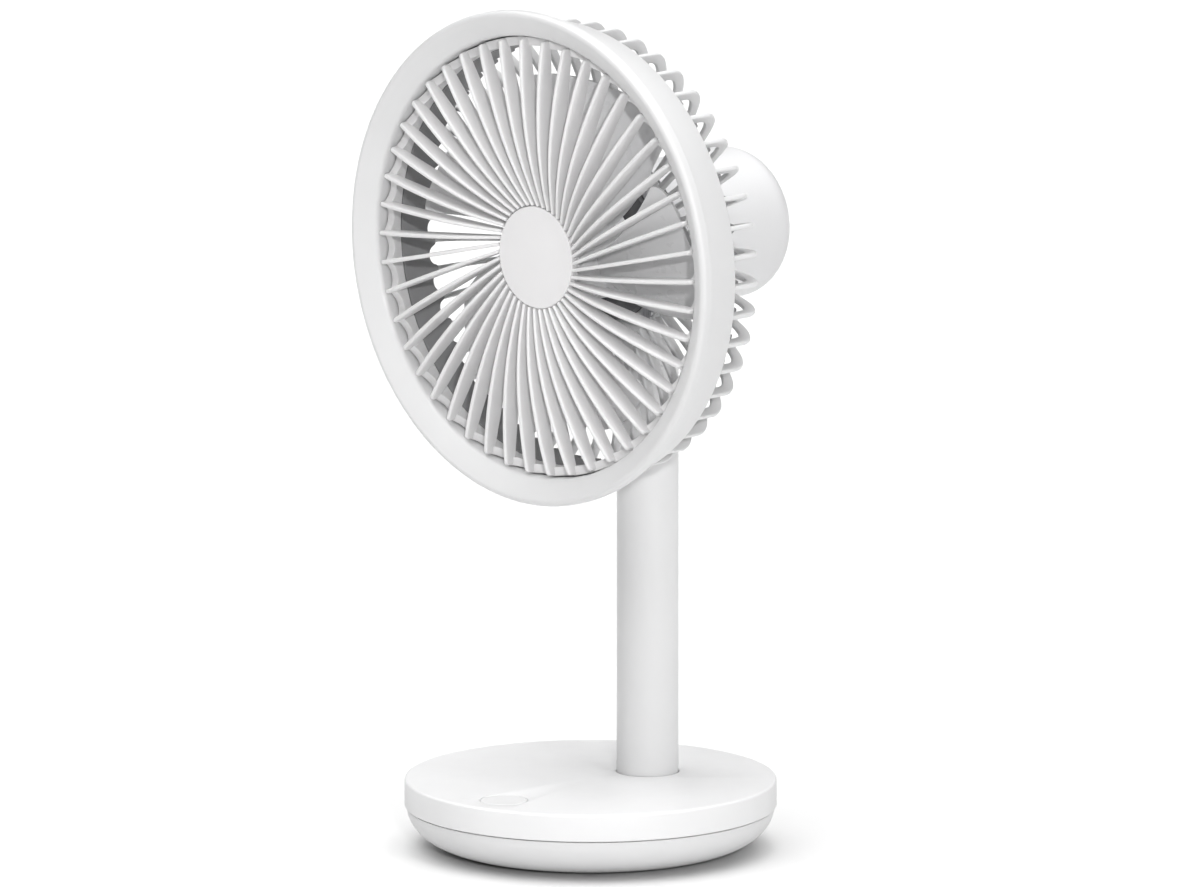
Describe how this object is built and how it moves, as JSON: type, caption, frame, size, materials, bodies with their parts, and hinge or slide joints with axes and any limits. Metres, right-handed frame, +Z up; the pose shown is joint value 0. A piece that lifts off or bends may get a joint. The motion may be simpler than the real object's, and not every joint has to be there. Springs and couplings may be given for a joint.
{
  "type": "desk fan",
  "caption": "Desk fan with a round weighted base, an off-centre swivel post and a tilting round head with a spiral front grille and a drum motor housing.",
  "frame": {"origin": "centre of the base's rubber pad, on the table", "axes": "+Z up; -Y the way the fan blows at rest; +X to the right of someone who faces the fan's front grille from the -Y side"},
  "size_m": [0.2004, 0.158, 0.3484],
  "materials": {
    "shell_white": "satin moulded ABS",
    "bowl_white": "satin moulded ABS",
    "ring_white": "satin moulded ABS",
    "grille_white": "satin moulded ABS",
    "guard_white": "satin moulded ABS",
    "housing_white": "satin moulded ABS",
    "disc_white": "fine matt moulded ABS",
    "button_white": "satin moulded ABS",
    "blade_white": "smooth moulded styrene acrylonitrile",
    "ballast_steel": "zinc plated steel plate",
    "pad_rubber": "ribbed silicone",
    "screw_steel": "zinc plated steel",
    "cell_wrap": "shrink wrapped cell",
    "inner_black": "moulded ABS",
    "inner_grey": "moulded acetal",
    "board_green": "solder masked glass epoxy",
    "socket_metal": "stamped steel shell",
    "bush_bronze": "sintered bronze",
    "acetal": "moulded acetal",
    "cable_black": "soft PVC jacket",
    "washer_black": "fibre friction washer",
    "winding_copper": "enamelled copper winding"
  },
  "bodies": {
    "base": {"base_cover": "shell_white", "base_bowl": "bowl_white", "ballast_plate": "ballast_steel", "rubber_pad": "pad_rubber", "base_screws": "screw_steel", "battery_cells": "cell_wrap", "battery_tray": "inner_black", "control_board": "board_green", "button_board": "board_green", "charge_socket": "socket_metal", "swivel_motor": "screw_steel", "lower_bush": "bush_bronze", "post_collar": "acetal", "button_spring": "screw_steel"},
    "button": {"power_button": "button_white"},
    "pinion": {"drive_pinion": "acetal"},
    "column": {"post_tube": "shell_white", "post_foot": "inner_grey", "swivel_gear": "acetal", "tilt_yoke": "shell_white", "post_dome": "shell_white", "inner_cable": "cable_black"},
    "head": {"motor_mount": "housing_white", "motor_housing": "housing_white", "tilt_pin": "screw_steel", "friction_washers": "washer_black", "rear_guard": "guard_white", "duct_ring": "guard_white", "front_grille": "grille_white", "centre_disc": "disc_white", "bezel_ring": "ring_white", "guard_screws": "screw_steel", "motor_stator": "winding_copper", "shaft_bearings": "screw_steel", "driver_board": "board_green"},
    "rotor": {"motor_rotor": "screw_steel", "motor_shaft": "screw_steel", "fan_blades": "blade_white", "blade_nut": "inner_grey"}
  },
  "joints": [
    {"name": "swivel", "type": "hinge", "parent": "base", "child": "column", "pos_m": [0.007, 0.0255, 0.02], "axis": [0, 0, 1], "range_deg": [-35, 35]},
    {"name": "tilt", "type": "hinge", "parent": "column", "child": "head", "pos_m": [0.007, 0.0255, 0.2482], "axis": [-1, 0, 0], "range_deg": [-5, 30]},
    {"name": "blade_spin", "type": "hinge", "parent": "head", "child": "rotor", "pos_m": [0.007, -0.038, 0.2482], "axis": [0, 1, 0], "continuous": true},
    {"name": "button_press", "type": "slide", "parent": "base", "child": "button", "axis": [0, 0, -1], "range_m": [0, 0.0008], "stiffness_N_per_m": 1000, "springref_m": -0.0003, "deforming": ["button_spring"]},
    {"name": "pinion_spin", "type": "hinge", "parent": "base", "child": "pinion", "pos_m": [-0.014, 0.0255, 0.02], "axis": [0, 0, 1], "range_deg": [-90, 90]}
  ],
  "couplings": [
    {"joint": "pinion_spin", "follows": "swivel", "ratio": -2.5}
  ]
}
